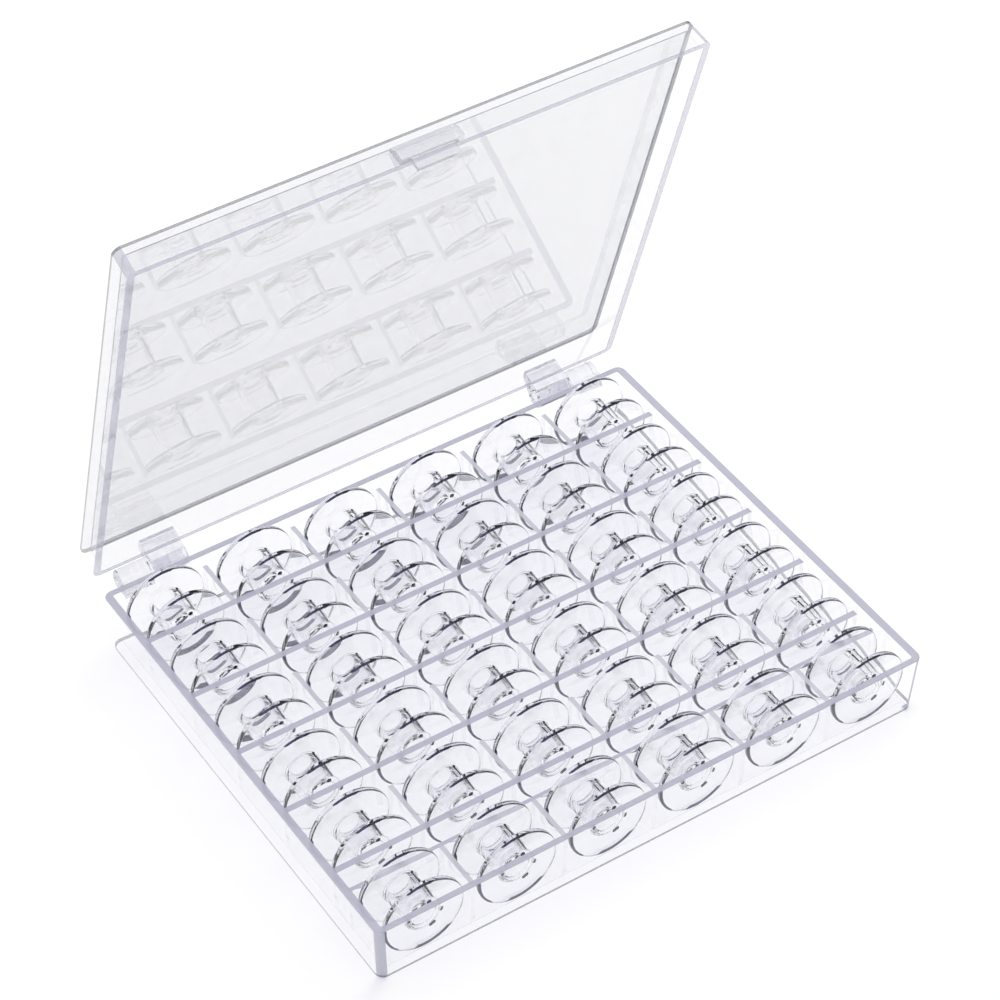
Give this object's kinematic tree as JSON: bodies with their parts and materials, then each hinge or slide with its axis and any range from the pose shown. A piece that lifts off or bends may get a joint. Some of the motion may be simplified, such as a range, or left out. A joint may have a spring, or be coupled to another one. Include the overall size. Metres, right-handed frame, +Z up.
{
  "type": "thread spool storage box",
  "caption": "Flat clear plastic box with a hinged lid, divided into rows of compartments that each hold an upright clear sewing bobbin.",
  "frame": {"origin": "centre of the tray's flat underside, on the table", "axes": "+X to the right along the hinge line, -Y towards the front, +Z up"},
  "size_m": [0.148, 0.1331, 0.1383],
  "materials": {
    "tray_plastic": "clear",
    "lid_plastic": "clear",
    "bobbin_plastic": "clear"
  },
  "bodies": {
    "tray": {"tray_shell": "tray_plastic", "tray_divider_1": "tray_plastic", "tray_divider_2": "tray_plastic", "tray_divider_3": "tray_plastic", "tray_divider_4": "tray_plastic", "tray_divider_5": "tray_plastic", "tray_ribs_row_1": "tray_plastic", "tray_ribs_row_2": "tray_plastic", "tray_ribs_row_3": "tray_plastic", "tray_ribs_row_4": "tray_plastic", "tray_ribs_row_5": "tray_plastic", "tray_ribs_row_6": "tray_plastic", "tray_front_rail": "tray_plastic", "tray_knuckle_left": "tray_plastic", "tray_knuckle_right": "tray_plastic"},
    "lid": {"lid_shell": "lid_plastic", "lid_knuckle_left": "lid_plastic", "lid_knuckle_right": "lid_plastic", "lid_catch": "lid_plastic"},
    "bobbin_r1_c1": {"bobbin_r1_c1": "bobbin_plastic"},
    "bobbin_r1_c2": {"bobbin_r1_c2": "bobbin_plastic"},
    "bobbin_r1_c3": {"bobbin_r1_c3": "bobbin_plastic"},
    "bobbin_r1_c4": {"bobbin_r1_c4": "bobbin_plastic"},
    "bobbin_r1_c5": {"bobbin_r1_c5": "bobbin_plastic"},
    "bobbin_r1_c6": {"bobbin_r1_c6": "bobbin_plastic"},
    "bobbin_r2_c1": {"bobbin_r2_c1": "bobbin_plastic"},
    "bobbin_r2_c2": {"bobbin_r2_c2": "bobbin_plastic"},
    "bobbin_r2_c3": {"bobbin_r2_c3": "bobbin_plastic"},
    "bobbin_r2_c4": {"bobbin_r2_c4": "bobbin_plastic"},
    "bobbin_r2_c5": {"bobbin_r2_c5": "bobbin_plastic"},
    "bobbin_r2_c6": {"bobbin_r2_c6": "bobbin_plastic"},
    "bobbin_r3_c1": {"bobbin_r3_c1": "bobbin_plastic"},
    "bobbin_r3_c2": {"bobbin_r3_c2": "bobbin_plastic"},
    "bobbin_r3_c3": {"bobbin_r3_c3": "bobbin_plastic"},
    "bobbin_r3_c4": {"bobbin_r3_c4": "bobbin_plastic"},
    "bobbin_r3_c5": {"bobbin_r3_c5": "bobbin_plastic"},
    "bobbin_r3_c6": {"bobbin_r3_c6": "bobbin_plastic"},
    "bobbin_r4_c1": {"bobbin_r4_c1": "bobbin_plastic"},
    "bobbin_r4_c2": {"bobbin_r4_c2": "bobbin_plastic"},
    "bobbin_r4_c3": {"bobbin_r4_c3": "bobbin_plastic"},
    "bobbin_r4_c4": {"bobbin_r4_c4": "bobbin_plastic"},
    "bobbin_r4_c5": {"bobbin_r4_c5": "bobbin_plastic"},
    "bobbin_r4_c6": {"bobbin_r4_c6": "bobbin_plastic"},
    "bobbin_r5_c1": {"bobbin_r5_c1": "bobbin_plastic"},
    "bobbin_r5_c2": {"bobbin_r5_c2": "bobbin_plastic"},
    "bobbin_r5_c3": {"bobbin_r5_c3": "bobbin_plastic"},
    "bobbin_r5_c4": {"bobbin_r5_c4": "bobbin_plastic"},
    "bobbin_r5_c5": {"bobbin_r5_c5": "bobbin_plastic"},
    "bobbin_r5_c6": {"bobbin_r5_c6": "bobbin_plastic"},
    "bobbin_r6_c1": {"bobbin_r6_c1": "bobbin_plastic"},
    "bobbin_r6_c2": {"bobbin_r6_c2": "bobbin_plastic"},
    "bobbin_r6_c3": {"bobbin_r6_c3": "bobbin_plastic"},
    "bobbin_r6_c4": {"bobbin_r6_c4": "bobbin_plastic"},
    "bobbin_r6_c5": {"bobbin_r6_c5": "bobbin_plastic"},
    "bobbin_r6_c6": {"bobbin_r6_c6": "bobbin_plastic"}
  },
  "joints": [
    {"name": "lid_hinge", "type": "hinge", "parent": "tray", "child": "lid", "pos_m": [0, 0.06425, 0.015], "axis": [-1, 0, 0], "range_deg": [-73.4, 106.6]},
    {"name": "bobbin_r1_c1_lift", "type": "slide", "parent": "tray", "child": "bobbin_r1_c1", "axis": [0, 0, 1], "range_m": [0, 0.026]},
    {"name": "bobbin_r1_c2_lift", "type": "slide", "parent": "tray", "child": "bobbin_r1_c2", "axis": [0, 0, 1], "range_m": [0, 0.026]},
    {"name": "bobbin_r1_c3_lift", "type": "slide", "parent": "tray", "child": "bobbin_r1_c3", "axis": [0, 0, 1], "range_m": [0, 0.026]},
    {"name": "bobbin_r1_c4_lift", "type": "slide", "parent": "tray", "child": "bobbin_r1_c4", "axis": [0, 0, 1], "range_m": [0, 0.026]},
    {"name": "bobbin_r1_c5_lift", "type": "slide", "parent": "tray", "child": "bobbin_r1_c5", "axis": [0, 0, 1], "range_m": [0, 0.026]},
    {"name": "bobbin_r1_c6_lift", "type": "slide", "parent": "tray", "child": "bobbin_r1_c6", "axis": [0, 0, 1], "range_m": [0, 0.026]},
    {"name": "bobbin_r2_c1_lift", "type": "slide", "parent": "tray", "child": "bobbin_r2_c1", "axis": [0, 0, 1], "range_m": [0, 0.026]},
    {"name": "bobbin_r2_c2_lift", "type": "slide", "parent": "tray", "child": "bobbin_r2_c2", "axis": [0, 0, 1], "range_m": [0, 0.026]},
    {"name": "bobbin_r2_c3_lift", "type": "slide", "parent": "tray", "child": "bobbin_r2_c3", "axis": [0, 0, 1], "range_m": [0, 0.026]},
    {"name": "bobbin_r2_c4_lift", "type": "slide", "parent": "tray", "child": "bobbin_r2_c4", "axis": [0, 0, 1], "range_m": [0, 0.026]},
    {"name": "bobbin_r2_c5_lift", "type": "slide", "parent": "tray", "child": "bobbin_r2_c5", "axis": [0, 0, 1], "range_m": [0, 0.026]},
    {"name": "bobbin_r2_c6_lift", "type": "slide", "parent": "tray", "child": "bobbin_r2_c6", "axis": [0, 0, 1], "range_m": [0, 0.026]},
    {"name": "bobbin_r3_c1_lift", "type": "slide", "parent": "tray", "child": "bobbin_r3_c1", "axis": [0, 0, 1], "range_m": [0, 0.026]},
    {"name": "bobbin_r3_c2_lift", "type": "slide", "parent": "tray", "child": "bobbin_r3_c2", "axis": [0, 0, 1], "range_m": [0, 0.026]},
    {"name": "bobbin_r3_c3_lift", "type": "slide", "parent": "tray", "child": "bobbin_r3_c3", "axis": [0, 0, 1], "range_m": [0, 0.026]},
    {"name": "bobbin_r3_c4_lift", "type": "slide", "parent": "tray", "child": "bobbin_r3_c4", "axis": [0, 0, 1], "range_m": [0, 0.026]},
    {"name": "bobbin_r3_c5_lift", "type": "slide", "parent": "tray", "child": "bobbin_r3_c5", "axis": [0, 0, 1], "range_m": [0, 0.026]},
    {"name": "bobbin_r3_c6_lift", "type": "slide", "parent": "tray", "child": "bobbin_r3_c6", "axis": [0, 0, 1], "range_m": [0, 0.026]},
    {"name": "bobbin_r4_c1_lift", "type": "slide", "parent": "tray", "child": "bobbin_r4_c1", "axis": [0, 0, 1], "range_m": [0, 0.026]},
    {"name": "bobbin_r4_c2_lift", "type": "slide", "parent": "tray", "child": "bobbin_r4_c2", "axis": [0, 0, 1], "range_m": [0, 0.026]},
    {"name": "bobbin_r4_c3_lift", "type": "slide", "parent": "tray", "child": "bobbin_r4_c3", "axis": [0, 0, 1], "range_m": [0, 0.026]},
    {"name": "bobbin_r4_c4_lift", "type": "slide", "parent": "tray", "child": "bobbin_r4_c4", "axis": [0, 0, 1], "range_m": [0, 0.026]},
    {"name": "bobbin_r4_c5_lift", "type": "slide", "parent": "tray", "child": "bobbin_r4_c5", "axis": [0, 0, 1], "range_m": [0, 0.026]},
    {"name": "bobbin_r4_c6_lift", "type": "slide", "parent": "tray", "child": "bobbin_r4_c6", "axis": [0, 0, 1], "range_m": [0, 0.026]},
    {"name": "bobbin_r5_c1_lift", "type": "slide", "parent": "tray", "child": "bobbin_r5_c1", "axis": [0, 0, 1], "range_m": [0, 0.026]},
    {"name": "bobbin_r5_c2_lift", "type": "slide", "parent": "tray", "child": "bobbin_r5_c2", "axis": [0, 0, 1], "range_m": [0, 0.026]},
    {"name": "bobbin_r5_c3_lift", "type": "slide", "parent": "tray", "child": "bobbin_r5_c3", "axis": [0, 0, 1], "range_m": [0, 0.026]},
    {"name": "bobbin_r5_c4_lift", "type": "slide", "parent": "tray", "child": "bobbin_r5_c4", "axis": [0, 0, 1], "range_m": [0, 0.026]},
    {"name": "bobbin_r5_c5_lift", "type": "slide", "parent": "tray", "child": "bobbin_r5_c5", "axis": [0, 0, 1], "range_m": [0, 0.026]},
    {"name": "bobbin_r5_c6_lift", "type": "slide", "parent": "tray", "child": "bobbin_r5_c6", "axis": [0, 0, 1], "range_m": [0, 0.026]},
    {"name": "bobbin_r6_c1_lift", "type": "slide", "parent": "tray", "child": "bobbin_r6_c1", "axis": [0, 0, 1], "range_m": [0, 0.026]},
    {"name": "bobbin_r6_c2_lift", "type": "slide", "parent": "tray", "child": "bobbin_r6_c2", "axis": [0, 0, 1], "range_m": [0, 0.026]},
    {"name": "bobbin_r6_c3_lift", "type": "slide", "parent": "tray", "child": "bobbin_r6_c3", "axis": [0, 0, 1], "range_m": [0, 0.026]},
    {"name": "bobbin_r6_c4_lift", "type": "slide", "parent": "tray", "child": "bobbin_r6_c4", "axis": [0, 0, 1], "range_m": [0, 0.026]},
    {"name": "bobbin_r6_c5_lift", "type": "slide", "parent": "tray", "child": "bobbin_r6_c5", "axis": [0, 0, 1], "range_m": [0, 0.026]},
    {"name": "bobbin_r6_c6_lift", "type": "slide", "parent": "tray", "child": "bobbin_r6_c6", "axis": [0, 0, 1], "range_m": [0, 0.026]}
  ]
}
